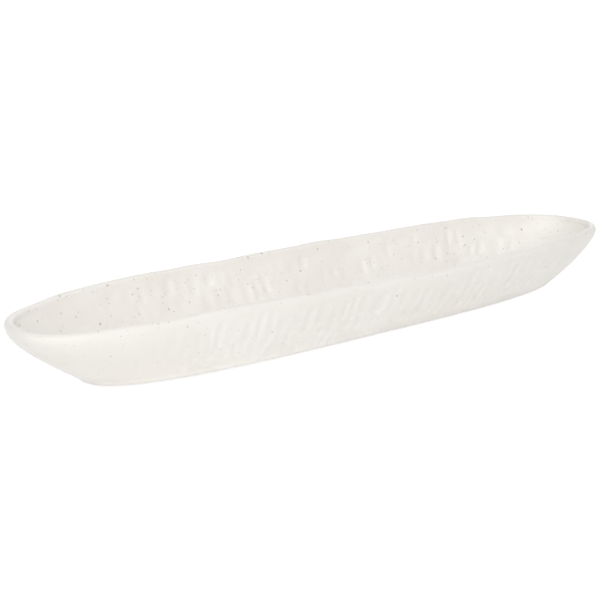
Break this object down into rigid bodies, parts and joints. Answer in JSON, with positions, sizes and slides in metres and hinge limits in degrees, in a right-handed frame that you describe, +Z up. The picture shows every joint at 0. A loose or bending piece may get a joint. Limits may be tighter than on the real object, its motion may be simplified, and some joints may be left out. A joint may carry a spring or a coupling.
{
  "type": "asparagus plate",
  "caption": "Long narrow boat-shaped serving dish in speckled glazed stoneware, with flaring walls, a softly uneven rolled lip and a bare foot ring, for asparagus or other long food.",
  "frame": {"origin": "centre of the foot ring on the surface that the dish stands on", "axes": "+X along the dish, +Y across it, +Z up out of its open side"},
  "size_m": [0.42, 0.0998, 0.0411],
  "materials": {
    "bare_clay": "matte",
    "glaze": "satin"
  },
  "bodies": {
    "root": {"clay_body": "bare_clay", "glaze_coat": "glaze", "foot_well_glaze": "glaze"}
  },
  "joints": []
}
